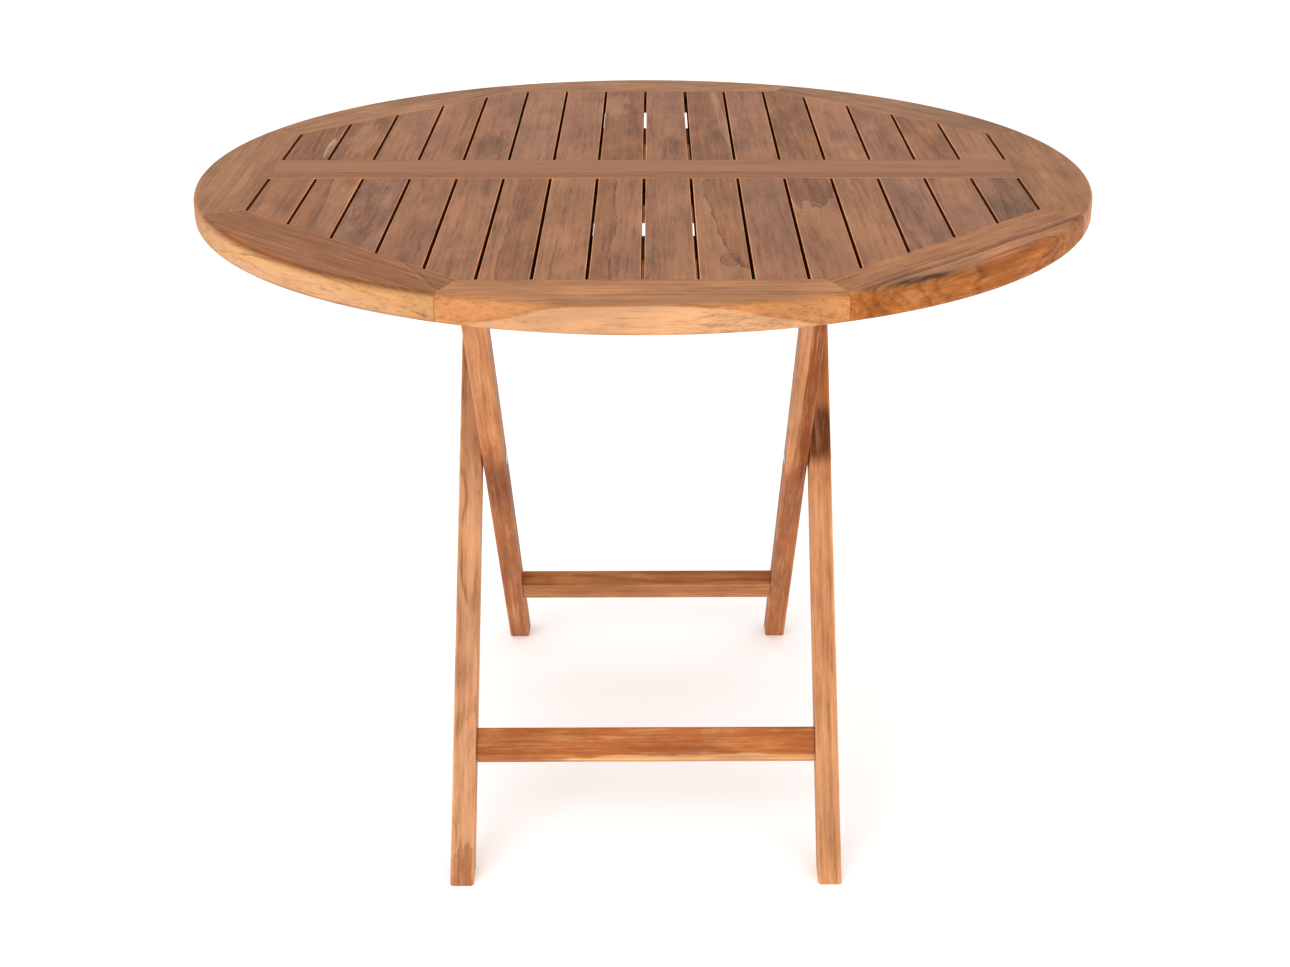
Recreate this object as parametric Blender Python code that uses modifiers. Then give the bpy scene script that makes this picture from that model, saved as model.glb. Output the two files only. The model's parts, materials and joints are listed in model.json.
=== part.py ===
"""Round folding picnic table in teak.

A slatted round top (eight mitred ring segments, a centre rail and thirty-two slats) stands on two
leg frames that cross like scissors. The outer frame is hinged to the bearers at the back of the
top. The inner frame carries a lock bar that bears on the underside of the same bearers at the front.

Metres, +Z up, front at -Y. The origin is on the floor under the centre of the top.
"""

import math

import bmesh
import bpy
from mathutils import Matrix, Vector

# Driving dimensions of the table top.
TOP_RADIUS = 0.500
TABLE_HEIGHT = 0.750
TOP_THICKNESS = 0.029
OPENING_APOTHEM = 0.419  # centre to the middle of each side of the ring's octagonal opening
RING_SIDES = 8
RAIL_WIDTH = 0.084
SLATS_PER_HALF = 16
SLAT_GAP = 0.0034
WIDE_GAP_EXTRA = 0.0011  # one gap behind the rail is wider than the others
WIDE_GAP_AFTER = 9  # it is to the right of this slat
RIM_TOP_ROUND = 0.0085
RIM_BOTTOM_ROUND = 0.005
TONGUE_LENGTH = 0.008
TONGUE_THICKNESS = 0.008

# Driving dimensions of the underframe.
BEARER_WIDTH = 0.025
BEARER_DEPTH = 0.029
BEARER_HALF_LENGTH = 0.415
BEARER_NOSE_LENGTH = 0.100  # the ends taper up over this length
BEARER_NOSE_DEPTH = 0.005
BEARER_CLEARANCE = 0.001  # between a bearer and the outer leg beside it
BATTEN_WIDTH = 0.090
CENTRE_BATTEN_WIDTH = 0.096
BATTEN_DEPTH = 0.0215
BATTEN_BACK_Y = 0.287
BATTEN_FRONT_Y = -0.215

# Driving dimensions of the leg frames.
CROSSING_HEIGHT = 0.395
FOOT_REACH = 0.303  # front to back, from the crossing to the middle of a foot
HINGE_DROP = 0.0095  # hinge axis below the bearers' underside
LEG_WIDTH = 0.0265
LEG_DEPTH = 0.030
OUTER_LEG_FACE_X = 0.2235
FRAME_GAP = 0.0018  # between an outer leg and the inner leg beside it
LEG_EDGE_ROUND = 0.0025
STRETCHER_HEIGHT = 0.120
STRETCHER_WIDTH = 0.038
STRETCHER_THICKNESS = 0.0235
OUTER_STRETCHER_SET_BACK = 0.003  # towards the leg's lower face
INNER_STRETCHER_SET_BACK = -0.001
TENON_LENGTH = 0.014
TENON_WIDTH = 0.028
TENON_THICKNESS = 0.014
LOCK_BAR_RADIUS = 0.015
LOCK_BAR_END_RADIUS = 0.009
LOCK_BAR_END_INSET = 0.002  # from the bearers' outer faces
SOFT_EDGE = 0.002
RIVET_RADIUS = 0.004
RIVET_HEAD_RADIUS = 0.0085
RIVET_HEAD_HEIGHT = 0.0012
EAR_RADIUS = 0.017
WASHER_RADIUS = 0.010

# Clearances and mesh fineness.
GAP = 0.0003
MERGE = 0.0001
RIM_STEPS = 128
ROUND_STEPS = 32
EDGE_ANGLE = math.radians(40)  # edges sharper than this are rounded

# Derived sizes.
TOP_UNDERSIDE = TABLE_HEIGHT - TOP_THICKNESS
TOP_MIDDLE = TABLE_HEIGHT - TOP_THICKNESS / 2
OCTAGON_SLOPE = math.tan(math.pi / RING_SIDES)
SLAT_WIDTH = (2 * OPENING_APOTHEM - (SLATS_PER_HALF + 1) * SLAT_GAP) / SLATS_PER_HALF
BEARER_UNDERSIDE = TOP_UNDERSIDE - BEARER_DEPTH
HINGE_Z = BEARER_UNDERSIDE - HINGE_DROP
LEAN = math.atan2(FOOT_REACH, CROSSING_HEIGHT)
HINGE_Y = (HINGE_Z - CROSSING_HEIGHT) * math.tan(LEAN)
UPPER_LENGTH = (HINGE_Z - CROSSING_HEIGHT) / math.cos(LEAN)
OUTER_LEG_X = OUTER_LEG_FACE_X - LEG_WIDTH / 2
INNER_LEG_X = OUTER_LEG_X - LEG_WIDTH - FRAME_GAP
BEARER_X = OUTER_LEG_FACE_X + BEARER_CLEARANCE + BEARER_WIDTH / 2
BEARER_INNER_X = BEARER_X - BEARER_WIDTH / 2
BEARER_OUTER_X = BEARER_X + BEARER_WIDTH / 2

# Base colours, linear.
TEAK_TOP = (0.385, 0.195, 0.118)
TEAK_RIM = (0.520, 0.270, 0.125)
TEAK_LEGS = (0.450, 0.205, 0.080)
TEAK_UNDER = (0.330, 0.160, 0.075)
STEEL = (0.560, 0.550, 0.530)


def clear_scene():
    for item in list(bpy.data.objects):
        bpy.data.objects.remove(item, do_unlink=True)


def new_collection(name, hidden=False):
    collection = bpy.data.collections.new(name)
    bpy.context.scene.collection.children.link(collection)
    collection.hide_render = hidden
    return collection


def new_material(name, colour, roughness, metallic=0.0):
    material = bpy.data.materials.new(name)
    material.use_nodes = True
    shader = material.node_tree.nodes["Principled BSDF"]
    shader.inputs["Base Color"].default_value = (*colour, 1.0)
    shader.inputs["Roughness"].default_value = roughness
    shader.inputs["Metallic"].default_value = metallic
    material.diffuse_color = (*colour, 1.0)
    return material


def finish_mesh(name, shape, collection, material=None, parent=None):
    """Turns a bmesh into a named object. Its material takes the object's own name."""
    bmesh.ops.recalc_face_normals(shape, faces=shape.faces)
    mesh = bpy.data.meshes.new(name)
    shape.to_mesh(mesh)
    shape.free()
    made = bpy.data.objects.new(name, mesh)
    collection.objects.link(made)
    if material:
        colour, roughness, metallic = material
        mesh.materials.append(new_material(name, colour, roughness, metallic))
    if parent:
        made.parent = parent
    return made


def make_cutter(name, shape, parent=None):
    made = finish_mesh(name, shape, CUTTERS, parent=parent)
    made.display_type = "WIRE"
    made.hide_render = True
    return made


def box_shape(size, centre):
    shape = bmesh.new()
    place = Matrix.Translation(centre) @ Matrix.Diagonal((*size, 1.0))
    bmesh.ops.create_cube(shape, size=1.0, matrix=place)
    return shape


def prism_shape(outline, low, high, along="Z"):
    """A flat outline pushed from low to high along X or Z. Along X the outline is in (Y, Z)."""
    shape = bmesh.new()
    if along == "Z":
        points = [Vector((a, b, low)) for a, b in outline]
        push = Vector((0.0, 0.0, high - low))
    else:
        points = [Vector((low, a, b)) for a, b in outline]
        push = Vector((high - low, 0.0, 0.0))
    face = shape.faces.new([shape.verts.new(point) for point in points])
    pushed = bmesh.ops.extrude_face_region(shape, geom=[face])
    moved = [item for item in pushed["geom"] if isinstance(item, bmesh.types.BMVert)]
    bmesh.ops.translate(shape, vec=push, verts=moved)
    return shape


def cylinder_shape(radius, low, high, centre):
    """A cylinder along X from low to high, about the point centre in (Y, Z)."""
    shape = bmesh.new()
    middle = Vector(((low + high) / 2, *centre))
    place = Matrix.Translation(middle) @ Matrix.Rotation(math.pi / 2, 4, "Y")
    bmesh.ops.create_cone(
        shape,
        cap_ends=True,
        segments=ROUND_STEPS,
        radius1=radius,
        radius2=radius,
        depth=high - low,
        matrix=place,
    )
    return shape


def turned_along_x(name, profile, material, parent, location):
    """A solid of revolution about X. profile is (radius, x), from the end at high x to the other."""
    mesh = bpy.data.meshes.new(name)
    points = [(radius, 0.0, x) for radius, x in profile]
    edges = [(i, i + 1) for i in range(len(points) - 1)]
    mesh.from_pydata(points, edges, [])
    made = bpy.data.objects.new(name, mesh)
    TABLE.objects.link(made)
    turn = made.modifiers.new("turn", "SCREW")
    turn.axis = "Z"
    turn.steps = ROUND_STEPS
    turn.render_steps = ROUND_STEPS
    turn.use_merge_vertices = True
    turn.merge_threshold = MERGE
    turn.use_smooth_shade = True
    colour, roughness, metallic = material
    mesh.materials.append(new_material(name, colour, roughness, metallic))
    made.rotation_euler = (0.0, math.pi / 2, 0.0)
    made.location = location
    made.parent = parent
    return made


def boolean(target, cutter, operation="DIFFERENCE"):
    modifier = target.modifiers.new(f"{operation.lower()}_{cutter.name}", "BOOLEAN")
    modifier.operation = operation
    modifier.solver = "EXACT"
    modifier.object = cutter
    return modifier


def round_edges(target, width, segments=2):
    modifier = target.modifiers.new("rounded_edges", "BEVEL")
    modifier.width = width
    modifier.segments = segments
    modifier.limit_method = "ANGLE"
    modifier.angle_limit = EDGE_ANGLE
    return modifier


def arc(centre, radius, start, end, steps):
    """Points on an arc, angles in degrees."""
    turns = [math.radians(start + (end - start) * i / steps) for i in range(steps + 1)]
    return [(centre[0] + radius * math.cos(t), centre[1] + radius * math.sin(t)) for t in turns]


# ---------------------------------------------------------------- table top


def half_opening(apothem, inner, side):
    """Half of an octagon, from the line |y| = inner outwards. side is -1 at the front, 1 at the back."""
    half_side = apothem * OCTAGON_SLOPE
    front = [
        (-apothem, inner),
        (-apothem, half_side),
        (-half_side, apothem),
        (half_side, apothem),
        (apothem, half_side),
        (apothem, inner),
    ]
    return [(x, side * y) for x, y in front]


def octagon(apothem):
    corner = apothem / math.cos(math.pi / RING_SIDES)
    turns = [math.pi * (2 * k + 1) / RING_SIDES for k in range(RING_SIDES)]
    return [(corner * math.cos(turn), corner * math.sin(turn)) for turn in turns]


def groove_levels(clearance):
    half = TONGUE_THICKNESS / 2 + clearance
    return TOP_MIDDLE - half, TOP_MIDDLE + half


def rounded_blank():
    """The whole top as one turned disc with a rounded rim: each ring segment is cut from it."""
    top, bottom = TABLE_HEIGHT, TOP_UNDERSIDE
    upper = arc((TOP_RADIUS - RIM_TOP_ROUND, top - RIM_TOP_ROUND), RIM_TOP_ROUND, 90, 0, 4)
    lower_centre = (TOP_RADIUS - RIM_BOTTOM_ROUND, bottom + RIM_BOTTOM_ROUND)
    lower = arc(lower_centre, RIM_BOTTOM_ROUND, 0, -90, 3)
    profile = [(0.0, top), *upper, *lower, (0.0, bottom)]
    mesh = bpy.data.meshes.new("rim_blank")
    edges = [(i, i + 1) for i in range(len(profile) - 1)]
    mesh.from_pydata([(r, 0.0, z) for r, z in profile], edges, [])
    blank = bpy.data.objects.new("rim_blank", mesh)
    CUTTERS.objects.link(blank)
    blank.display_type = "WIRE"
    blank.hide_render = True
    turn = blank.modifiers.new("turn", "SCREW")
    turn.steps = RIM_STEPS
    turn.render_steps = RIM_STEPS
    turn.use_merge_vertices = True
    turn.merge_threshold = MERGE
    return blank


def make_ring():
    blank = rounded_blank()
    above = TABLE_HEIGHT + TOP_THICKNESS
    below = TOP_UNDERSIDE - TOP_THICKNESS
    opening = make_cutter("ring_opening", prism_shape(octagon(OPENING_APOTHEM), below, above))
    groove_low, groove_high = groove_levels(GAP)
    groove_outline = octagon(OPENING_APOTHEM + TONGUE_LENGTH + GAP)
    groove = make_cutter("ring_groove", prism_shape(groove_outline, groove_low, groove_high))
    names = ["right", "back_right", "back", "back_left", "left", "front_left", "front", "front_right"]
    half_angle = math.pi / RING_SIDES
    joint_inset = GAP / 2 / math.sin(half_angle)
    reach = 1.3 * TOP_RADIUS  # well past the rim
    spread = reach * math.tan(half_angle)
    wedge = [(joint_inset, 0.0), (joint_inset + reach, -spread), (joint_inset + reach, spread)]
    for index, name in enumerate(names):
        segment = finish_mesh(f"ring_{name}", prism_shape(wedge, below, above), TABLE, WOOD_RIM)
        segment.rotation_euler = (0.0, 0.0, 2 * half_angle * index)
        boolean(segment, blank, "INTERSECT")
        boolean(segment, opening)
        boolean(segment, groove)


def make_rail():
    length = 2 * (OPENING_APOTHEM - GAP)
    size = (length, RAIL_WIDTH, TOP_THICKNESS)
    rail = finish_mesh("centre_rail", box_shape(size, (0, 0, TOP_MIDDLE)), TABLE, WOOD_TOP)
    tongue_size = (2 * (OPENING_APOTHEM + TONGUE_LENGTH), RAIL_WIDTH, TONGUE_THICKNESS)
    tongue = make_cutter("rail_tongue", box_shape(tongue_size, (0, 0, TOP_MIDDLE)))
    boolean(rail, tongue, "UNION")
    depth = TONGUE_LENGTH + GAP
    groove_size = (2 * TOP_RADIUS, 2 * depth, TONGUE_THICKNESS + 2 * GAP)
    for side, name in ((-1, "front"), (1, "back")):
        centre = (0, side * RAIL_WIDTH / 2, TOP_MIDDLE)
        boolean(rail, make_cutter(f"rail_groove_{name}", box_shape(groove_size, centre)))


def make_slats():
    """Each slat is one strip of its half of the opening, with a tongue into the ring and the rail."""
    tongue_low, tongue_high = groove_levels(0.0)
    for side, name in ((-1, "front"), (1, "back")):
        body = half_opening(OPENING_APOTHEM - GAP, RAIL_WIDTH / 2 + GAP, side)
        field = make_cutter(f"slat_field_{name}", prism_shape(body, TOP_UNDERSIDE, TABLE_HEIGHT))
        slab = half_opening(OPENING_APOTHEM + TONGUE_LENGTH, RAIL_WIDTH / 2 - TONGUE_LENGTH, side)
        tongues = make_cutter(f"tongue_field_{name}", prism_shape(slab, tongue_low, tongue_high))
        boolean(field, tongues, "UNION")
        for index in range(SLATS_PER_HALF):
            left = -OPENING_APOTHEM + SLAT_GAP + index * (SLAT_WIDTH + SLAT_GAP)
            right = left + SLAT_WIDTH
            if name == "back" and index == WIDE_GAP_AFTER:
                left += WIDE_GAP_EXTRA
            centre = ((left + right) / 2, side * TOP_RADIUS / 2, TOP_MIDDLE)
            size = (right - left, TOP_RADIUS, 2 * TOP_THICKNESS)
            strip = box_shape(size, centre)
            slat = finish_mesh(f"slat_{name}_{index + 1:02d}", strip, TABLE, WOOD_TOP)
            boolean(slat, field, "INTERSECT")


def make_battens():
    length = 2 * (BEARER_INNER_X - GAP)
    places = (
        ("back", BATTEN_BACK_Y, BATTEN_WIDTH),
        ("centre", 0.0, CENTRE_BATTEN_WIDTH),
        ("front", BATTEN_FRONT_Y, BATTEN_WIDTH),
    )
    for name, y, width in places:
        centre = (0.0, y, TOP_UNDERSIDE - GAP - BATTEN_DEPTH / 2)
        shape = box_shape((length, width, BATTEN_DEPTH), centre)
        batten = finish_mesh(f"batten_{name}", shape, TABLE, WOOD_UNDER)
        round_edges(batten, SOFT_EDGE, 1)


def bearer_outline(top):
    """A bearer seen from its side: full depth along the middle, and tapered up at both ends."""
    half, nose = BEARER_HALF_LENGTH, BEARER_NOSE_LENGTH
    nose_z = top - BEARER_NOSE_DEPTH
    return [
        (-half, top),
        (-half, nose_z),
        (nose - half, BEARER_UNDERSIDE),
        (half - nose, BEARER_UNDERSIDE),
        (half, nose_z),
        (half, top),
    ]


def make_bearers():
    """A bearer with tapered ends, and a round ear under its back half that takes the hinge rivet."""
    outline = bearer_outline(TOP_UNDERSIDE - GAP)
    hinge = (HINGE_Y, HINGE_Z)
    for side, name in ((-1, "left"), (1, "right")):
        x = side * BEARER_X
        ends = (x - BEARER_WIDTH / 2, x + BEARER_WIDTH / 2)
        shape = prism_shape(outline, *ends, "X")
        bearer = finish_mesh(f"bearer_{name}", shape, TABLE, WOOD_UNDER)
        ear = make_cutter(f"bearer_ear_{name}", cylinder_shape(EAR_RADIUS, *ends, hinge))
        boolean(bearer, ear, "UNION")
        hole_ends = (x - BEARER_WIDTH, x + BEARER_WIDTH)
        hole = cylinder_shape(RIVET_RADIUS + GAP, *hole_ends, hinge)
        boolean(bearer, make_cutter(f"bearer_hole_{name}", hole))


# ---------------------------------------------------------------- leg frames


def leg_outline(top, foot_rise, foot_tilt):
    """A leg seen from its side: top is the height of its round end's centre, and the foot is cut
    on the line z = foot_rise + foot_tilt * y, which is level with the floor once the leg leans."""
    half = LEG_DEPTH / 2
    outline = arc((0.0, top), half, 0, 180, 10)
    outline += [(-half, foot_rise - foot_tilt * half), (half, foot_rise + foot_tilt * half)]
    return outline


def leg(name, frame, x, outline, holes, stretcher_at):
    """holes are ((y, z), radius) along X, stretcher_at is where the stretcher's tenon enters."""
    shape = prism_shape(outline, -LEG_WIDTH / 2, LEG_WIDTH / 2, "X")
    made = finish_mesh(name, shape, TABLE, WOOD_LEGS, frame)
    made.location = (x, 0.0, 0.0)
    round_edges(made, LEG_EDGE_ROUND)
    for number, (centre, radius) in enumerate(holes):
        hole = cylinder_shape(radius + GAP, -LEG_WIDTH, LEG_WIDTH, centre)
        cutter = make_cutter(f"{name}_hole_{number}", hole, frame)
        cutter.location = made.location
        boolean(made, cutter)
    side = math.copysign(1.0, x)
    depth = TENON_LENGTH + GAP
    size = (2 * depth, TENON_THICKNESS + 2 * GAP, TENON_WIDTH + 2 * GAP)
    mortise = box_shape(size, (-side * LEG_WIDTH / 2, *stretcher_at))
    cutter = make_cutter(f"{name}_mortise", mortise, frame)
    cutter.location = made.location
    boolean(made, cutter)
    return made


def stretcher(name, frame, leg_x, stretcher_at):
    inside = leg_x - LEG_WIDTH / 2 - GAP
    size = (2 * inside, STRETCHER_THICKNESS, STRETCHER_WIDTH)
    made = finish_mesh(name, box_shape(size, (0.0, *stretcher_at)), TABLE, WOOD_LEGS, frame)
    round_edges(made, SOFT_EDGE, 1)
    tenon_size = (2 * (inside + GAP + TENON_LENGTH), TENON_THICKNESS, TENON_WIDTH)
    tenon = make_cutter(f"{name}_tenon", box_shape(tenon_size, (0.0, *stretcher_at)), frame)
    boolean(made, tenon, "UNION")


def rivet(name, frame, low, high, centre):
    """A shank along X with a domed head past each end."""
    shank, head, rise = RIVET_RADIUS, RIVET_HEAD_RADIUS, RIVET_HEAD_HEIGHT
    near, far = low - GAP, high + GAP
    dome = [(head * math.cos(math.radians(t)), rise * math.sin(math.radians(t))) for t in (60, 30, 0)]
    profile = [(0.0, far + rise), *[(r, far + h) for r, h in dome], (shank, far)]
    profile += [(shank, near), *[(r, near - h) for r, h in reversed(dome)], (0.0, near - rise)]
    turned_along_x(name, profile, METAL, frame, (0.0, *centre))


def make_outer_frame(frame):
    """Local axes: the origin is on the hinge axis and -Z runs down the legs to the front feet."""
    crossing = (0.0, -UPPER_LENGTH)
    foot_rise = -HINGE_Z / math.cos(LEAN)
    outline = leg_outline(0.0, foot_rise, math.tan(LEAN))
    along = -(HINGE_Z - STRETCHER_HEIGHT) / math.cos(LEAN)
    stretcher_at = (OUTER_STRETCHER_SET_BACK, along)
    holes = [((0.0, 0.0), RIVET_RADIUS), (crossing, RIVET_RADIUS)]
    for side, name in ((-1, "left"), (1, "right")):
        leg(f"outer_leg_{name}", frame, side * OUTER_LEG_X, outline, holes, stretcher_at)
        inner_face = OUTER_LEG_X - LEG_WIDTH / 2
        edges = sorted((side * (inner_face - GAP), side * (inner_face - FRAME_GAP + GAP)))
        shape = cylinder_shape(WASHER_RADIUS, *edges, crossing)
        washer = finish_mesh(f"pivot_washer_{name}", shape, TABLE, METAL, frame)
        bore = cylinder_shape(RIVET_RADIUS + GAP, edges[0] - FRAME_GAP, edges[1] + FRAME_GAP, crossing)
        boolean(washer, make_cutter(f"pivot_washer_bore_{name}", bore, frame))
        ends = sorted((side * OUTER_LEG_FACE_X, side * (INNER_LEG_X - LEG_WIDTH / 2)))
        rivet(f"pivot_rivet_{name}", frame, *ends, crossing)
    stretcher("outer_stretcher", frame, OUTER_LEG_X, stretcher_at)


def make_inner_frame(frame):
    """Local axes: the origin is on the crossing and +Z runs up the legs to the lock bar."""
    foot_rise = -CROSSING_HEIGHT / math.cos(LEAN)
    outline = leg_outline(UPPER_LENGTH, foot_rise, -math.tan(LEAN))
    along = -(CROSSING_HEIGHT - STRETCHER_HEIGHT) / math.cos(LEAN)
    stretcher_at = (INNER_STRETCHER_SET_BACK, along)
    bar = (0.0, UPPER_LENGTH)
    holes = [((0.0, 0.0), RIVET_RADIUS), (bar, LOCK_BAR_END_RADIUS)]
    for side, name in ((-1, "left"), (1, "right")):
        leg(f"inner_leg_{name}", frame, side * INNER_LEG_X, outline, holes, stretcher_at)
    stretcher("inner_stretcher", frame, INNER_LEG_X, stretcher_at)
    shoulder = INNER_LEG_X - LEG_WIDTH / 2 - GAP
    end = BEARER_OUTER_X - LOCK_BAR_END_INSET
    thin, thick, chamfer = LOCK_BAR_END_RADIUS, LOCK_BAR_RADIUS, SOFT_EDGE
    right = [(0.0, end), (thin - chamfer, end), (thin, end - chamfer)]
    right += [(thin, shoulder), (thick - chamfer, shoulder), (thick, shoulder - chamfer)]
    profile = right + [(radius, -x) for radius, x in reversed(right)]
    turned_along_x("lock_bar", profile, WOOD_LEGS, frame, (0.0, *bar))


def make_hinge_rivets():
    for side, name in ((-1, "left"), (1, "right")):
        ends = sorted((side * BEARER_OUTER_X, side * (OUTER_LEG_X - LEG_WIDTH / 2)))
        rivet(f"hinge_rivet_{name}", None, *ends, (HINGE_Y, HINGE_Z))


def joint_empty(name, location, tilt, parent=None):
    """An empty on a joint's axis, turned about X so that its Z axis runs along the legs."""
    empty = bpy.data.objects.new(name, None)
    empty.empty_display_size = 0.1
    TABLE.objects.link(empty)
    empty.location = location
    empty.rotation_euler = (tilt, 0.0, 0.0)
    empty.parent = parent
    return empty


clear_scene()
TABLE = new_collection("folding_picnic_table")
CUTTERS = new_collection("cutters", hidden=True)
WOOD_TOP = (TEAK_TOP, 0.55, 0.0)
WOOD_RIM = (TEAK_RIM, 0.50, 0.0)
WOOD_LEGS = (TEAK_LEGS, 0.50, 0.0)
WOOD_UNDER = (TEAK_UNDER, 0.60, 0.0)
METAL = (STEEL, 0.35, 1.0)

make_ring()
make_rail()
make_slats()
make_battens()
make_bearers()
make_hinge_rivets()
leg_fold = joint_empty("leg_fold_axis", (0.0, HINGE_Y, HINGE_Z), -LEAN)
make_outer_frame(leg_fold)
cross_pivot = joint_empty("cross_pivot_axis", (0.0, 0.0, -UPPER_LENGTH), 2 * LEAN, leg_fold)
make_inner_frame(cross_pivot)
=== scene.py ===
"""Looks of the round folding picnic table: every board, leg, bar and rivet as a finely rounded
piece, in oiled teak and steel, on a pale floor in soft studio light.

Each wooden piece is built in world coordinates and then given local axes whose X runs along its
grain, so that one teak shader, which works in those axes, cuts every board from its own log.
"""

import json
import math
import random

import bmesh
import bpy
from mathutils import Matrix, Vector

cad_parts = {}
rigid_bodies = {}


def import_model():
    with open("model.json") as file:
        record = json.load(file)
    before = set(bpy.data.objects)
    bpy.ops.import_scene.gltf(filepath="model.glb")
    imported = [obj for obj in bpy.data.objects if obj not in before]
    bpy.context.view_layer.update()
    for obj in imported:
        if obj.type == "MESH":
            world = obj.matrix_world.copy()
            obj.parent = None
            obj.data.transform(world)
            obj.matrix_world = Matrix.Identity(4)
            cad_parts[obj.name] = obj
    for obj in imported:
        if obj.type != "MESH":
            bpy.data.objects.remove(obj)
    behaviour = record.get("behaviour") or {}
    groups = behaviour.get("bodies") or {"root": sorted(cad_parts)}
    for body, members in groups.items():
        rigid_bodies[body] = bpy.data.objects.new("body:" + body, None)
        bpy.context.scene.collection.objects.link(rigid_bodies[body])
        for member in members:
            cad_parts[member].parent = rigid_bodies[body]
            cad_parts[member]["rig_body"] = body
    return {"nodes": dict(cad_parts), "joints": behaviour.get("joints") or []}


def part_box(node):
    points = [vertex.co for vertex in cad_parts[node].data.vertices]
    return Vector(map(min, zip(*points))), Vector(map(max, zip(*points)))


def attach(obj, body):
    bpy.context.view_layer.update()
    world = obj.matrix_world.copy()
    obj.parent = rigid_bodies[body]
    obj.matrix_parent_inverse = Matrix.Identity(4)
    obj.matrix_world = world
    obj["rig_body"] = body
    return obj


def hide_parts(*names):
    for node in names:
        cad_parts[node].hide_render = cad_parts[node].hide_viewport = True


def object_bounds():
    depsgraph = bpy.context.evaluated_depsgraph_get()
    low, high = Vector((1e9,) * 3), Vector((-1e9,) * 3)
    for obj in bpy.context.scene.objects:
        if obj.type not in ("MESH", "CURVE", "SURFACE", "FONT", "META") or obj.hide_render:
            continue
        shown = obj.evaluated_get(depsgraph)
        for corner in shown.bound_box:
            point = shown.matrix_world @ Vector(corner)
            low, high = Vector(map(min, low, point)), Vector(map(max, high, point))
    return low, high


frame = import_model()
cad_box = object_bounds()

# Sizes of details that no node's box gives, in metres.
GAP = 0.0003
TONGUE_THICKNESS = 0.008
RIM_TOP_ROUND = 0.0085
RIM_BOTTOM_ROUND = 0.005
SLAT_EDGE_ROUND = 0.0011
END_EDGE_ROUND = 0.0006
LEG_EDGE_ROUND = 0.0026
FOOT_EDGE_ROUND = 0.0010
STRETCHER_EDGE_ROUND = 0.0020
STRETCHER_WIDTH = 0.038
STRETCHER_THICKNESS = 0.0235
TENON_LENGTH = 0.014
TENON_WIDTH = 0.028
TENON_THICKNESS = 0.014
BEARER_DEPTH = 0.029
BEARER_NOSE_LENGTH = 0.100
BEARER_NOSE_DEPTH = 0.005
EAR_RADIUS = 0.017
LOCK_BAR_END_RADIUS = 0.009
RIVET_RADIUS = 0.004
RIVET_HEAD_HEIGHT = 0.0012
CORNER_ROUND = 0.0004  # of ring mitres and washers
LOCK_BAR_EDGE_ROUND = 0.002
ROUND_STEPS = 64
RIM_STEPS = 24  # sections along each ring segment
SHARP_ANGLE = math.radians(40)  # edges sharper than this can be rounded
SLATS_PER_SIDE = 16

# Sizes and places that come from the frame.
RAIL_LOW, RAIL_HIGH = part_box("centre_rail")
TOP_Z = RAIL_HIGH.z
UNDER_Z = RAIL_LOW.z
MIDDLE_Z = (TOP_Z + UNDER_Z) / 2
RAIL_HALF = RAIL_HIGH.y
RIM_RADIUS = cad_box[1][0]
APOTHEM = -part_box("ring_front")[1].y
TONGUE_LENGTH = RAIL_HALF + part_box("slat_front_08")[1].y
JOINTS = {joint["name"]: joint for joint in frame["joints"]}
HINGE = Vector(JOINTS["leg_fold"]["pos_m"])
CROSSING = Vector(JOINTS["cross_pivot"]["pos_m"])
LEAN = math.atan2(HINGE.y, HINGE.z - CROSSING.z)
UPPER_LENGTH = (HINGE - CROSSING).length
LEG_HALF_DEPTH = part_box("outer_leg_left")[1].z - HINGE.z
HALF_ANGLE = math.pi / 8
RING_NAMES = ["right", "back_right", "back", "back_left"]
RING_NAMES += ["left", "front_left", "front", "front_right"]


# ---------------------------------------------------------------- shapes


def prism(outline, push):
    """A flat outline of 3-D points pushed along the vector push."""
    shape = bmesh.new()
    face = shape.faces.new([shape.verts.new(point) for point in outline])
    pushed = bmesh.ops.extrude_face_region(shape, geom=[face])
    moved = [item for item in pushed["geom"] if isinstance(item, bmesh.types.BMVert)]
    bmesh.ops.translate(shape, vec=push, verts=moved)
    bmesh.ops.recalc_face_normals(shape, faces=shape.faces)
    return shape


def block(low, high):
    """A box between two corners."""
    outline = [(low[0], low[1]), (high[0], low[1]), (high[0], high[1]), (low[0], high[1])]
    return prism([(x, y, low[2]) for x, y in outline], (0.0, 0.0, high[2] - low[2]))


def lathe(profile, centre):
    """A solid of revolution about the X axis through centre. profile is (x, radius) from one end
    to the other, and starts and ends on the axis."""
    shape = bmesh.new()
    rings = []
    for x, radius in profile:
        steps = range(ROUND_STEPS) if radius else range(1)
        ring = []
        for turn in [2 * math.pi * step / ROUND_STEPS for step in steps]:
            spoke = Vector((x, radius * math.cos(turn), radius * math.sin(turn)))
            ring.append(shape.verts.new(Vector((0.0, centre.y, centre.z)) + spoke))
        rings.append(ring)
    for near, far in zip(rings, rings[1:]):
        for step in range(ROUND_STEPS):
            following = (step + 1) % ROUND_STEPS
            corners = [near[step % len(near)], near[following % len(near)]]
            corners += [far[following % len(far)], far[step % len(far)]]
            shape.faces.new(list(dict.fromkeys(corners)))
    bmesh.ops.recalc_face_normals(shape, faces=shape.faces)
    return shape


def cylinder(low, high, radius, centre):
    """A plain cylinder along X from low to high."""
    return lathe([(low, 0.0), (low, radius), (high, radius), (high, 0.0)], centre)


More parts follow.
